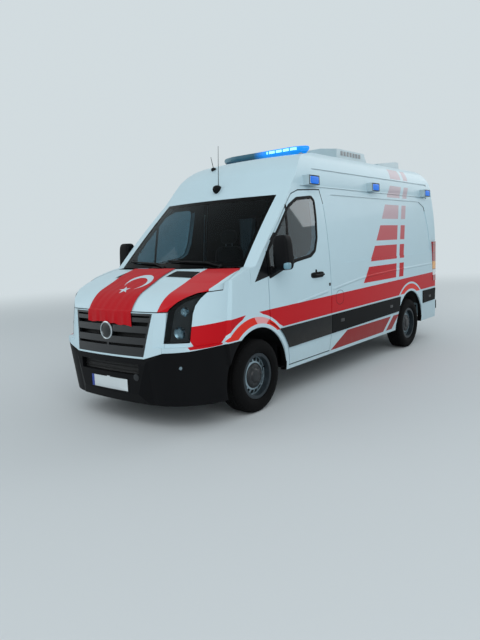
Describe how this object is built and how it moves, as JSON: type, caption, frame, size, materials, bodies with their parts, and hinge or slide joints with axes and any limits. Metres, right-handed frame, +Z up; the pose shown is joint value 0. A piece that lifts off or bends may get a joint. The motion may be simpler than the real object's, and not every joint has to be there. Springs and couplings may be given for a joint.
{
  "type": "high-roof van ambulance",
  "caption": "White high-roof panel-van ambulance with red bands, doors and hood that open, and wheels that steer and roll.",
  "frame": {"origin": "on the ground, at the middle of the vehicle's length and width", "axes": "+Z up, +Y towards the tail (the nose faces -Y), +X towards the vehicle's left side"},
  "size_m": [2.4174, 5.905, 2.7779],
  "materials": {
    "white_paint": "white body paint",
    "underbody_paint": "black underbody paint",
    "black_plastic": "black moulded plastic",
    "grey_plastic": "grey cab plastic",
    "clear_lens": "clear lamp lens",
    "red_lens": "red lamp lens",
    "blue_lens": "blue beacon lens",
    "window_glass": "tinted window glass",
    "steel": "bare steel",
    "cast_iron": "cast iron",
    "wheel_paint": "silver-grey wheel paint",
    "tyre_rubber": "tyre rubber",
    "seat_fabric": "dark seat fabric",
    "flag_cloth": "red flag cloth",
    "white_plastic": "white plastic housing"
  },
  "bodies": {
    "ambulance": {"body_side_left": "white_paint", "body_side_right": "white_paint", "bulkhead": "white_paint", "chassis_rails": "underbody_paint", "cowl": "black_plastic", "dashboard": "grey_plastic", "engine": "cast_iron", "exhaust": "steel", "firewall": "underbody_paint", "floor": "underbody_paint", "front_bumper": "black_plastic", "front_panel": "white_paint", "front_suspension": "steel", "fuel_tank": "black_plastic", "grille": "black_plastic", "headlights": "clear_lens", "leaf_springs": "steel", "light_bar": "blue_lens", "mud_flaps": "black_plastic", "number_plates": "white_plastic", "propshaft": "steel", "rear_axle": "cast_iron", "rear_bumper": "black_plastic", "roof": "white_paint", "roof_unit": "white_plastic", "seats": "seat_fabric", "side_beacons": "blue_lens", "side_mouldings": "black_plastic", "sliding_door": "white_paint", "sliding_door_glass": "window_glass", "tail_lights": "red_lens", "windscreen": "window_glass", "wing_left": "white_paint", "wing_right": "white_paint"},
    "steering_wheel": {"steering_wheel": "grey_plastic"},
    "hood": {"hood": "white_paint", "flag": "flag_cloth"},
    "knuckle_left": {"knuckle_left": "cast_iron"},
    "door_front_left": {"door_front_left": "white_paint", "door_front_glass_left": "window_glass", "mirror_left": "black_plastic"},
    "rear_door_left": {"rear_door_left": "white_paint", "rear_door_glass_left": "window_glass"},
    "wheel_front_left": {"rim_front_left": "wheel_paint", "tyre_front_left": "tyre_rubber"},
    "wheel_rear_left": {"rim_rear_left": "wheel_paint", "tyre_rear_left": "tyre_rubber"},
    "knuckle_right": {"knuckle_right": "cast_iron"},
    "door_front_right": {"door_front_right": "white_paint", "door_front_glass_right": "window_glass", "mirror_right": "black_plastic"},
    "rear_door_right": {"rear_door_right": "white_paint", "rear_door_glass_right": "window_glass"},
    "wheel_front_right": {"rim_front_right": "wheel_paint", "tyre_front_right": "tyre_rubber"},
    "wheel_rear_right": {"rim_rear_right": "wheel_paint", "tyre_rear_right": "tyre_rubber"}
  },
  "joints": [
    {"name": "steer_left", "type": "hinge", "parent": "ambulance", "child": "knuckle_left", "pos_m": [0.76, -1.9545, 0.35], "axis": [0, 0, 1], "range_deg": [-35, 35]},
    {"name": "spin_front_left", "type": "hinge", "parent": "knuckle_left", "child": "wheel_front_left", "pos_m": [0.856, -1.9545, 0.35], "axis": [1, 0, 0], "continuous": true},
    {"name": "spin_rear_left", "type": "hinge", "parent": "ambulance", "child": "wheel_rear_left", "pos_m": [0.856, 1.7105, 0.35], "axis": [1, 0, 0], "continuous": true},
    {"name": "open_door_front_left", "type": "hinge", "parent": "ambulance", "child": "door_front_left", "pos_m": [0.975, -1.742, 1], "axis": [0, 0, -1], "range_deg": [0, 70]},
    {"name": "open_rear_door_left", "type": "hinge", "parent": "ambulance", "child": "rear_door_left", "pos_m": [0.8, 2.862, 1.4], "axis": [0, 0, -1], "range_deg": [0, 180]},
    {"name": "steer_right", "type": "hinge", "parent": "ambulance", "child": "knuckle_right", "pos_m": [-0.76, -1.9545, 0.35], "axis": [0, 0, 1], "range_deg": [-35, 35]},
    {"name": "spin_front_right", "type": "hinge", "parent": "knuckle_right", "child": "wheel_front_right", "pos_m": [-0.856, -1.9545, 0.35], "axis": [1, 0, 0], "continuous": true},
    {"name": "spin_rear_right", "type": "hinge", "parent": "ambulance", "child": "wheel_rear_right", "pos_m": [-0.856, 1.7105, 0.35], "axis": [1, 0, 0], "continuous": true},
    {"name": "open_door_front_right", "type": "hinge", "parent": "ambulance", "child": "door_front_right", "pos_m": [-0.975, -1.742, 1], "axis": [0, 0, 1], "range_deg": [0, 70]},
    {"name": "open_rear_door_right", "type": "hinge", "parent": "ambulance", "child": "rear_door_right", "pos_m": [-0.8, 2.862, 1.4], "axis": [0, 0, 1], "range_deg": [0, 180]},
    {"name": "open_hood", "type": "hinge", "parent": "ambulance", "child": "hood", "pos_m": [0, -2.024, 1.374], "axis": [-1, 0, 0], "range_deg": [0, 55]},
    {"name": "turn_steering_wheel", "type": "hinge", "parent": "ambulance", "child": "steering_wheel", "pos_m": [0.4, -1.316, 1.231], "axis": [0, 0.9258, 0.3779], "range_deg": [-490, 490]}
  ],
  "couplings": [
    {"joint": "steer_right", "follows": "steer_left", "ratio": 1},
    {"joint": "turn_steering_wheel", "follows": "steer_left", "ratio": 14}
  ]
}
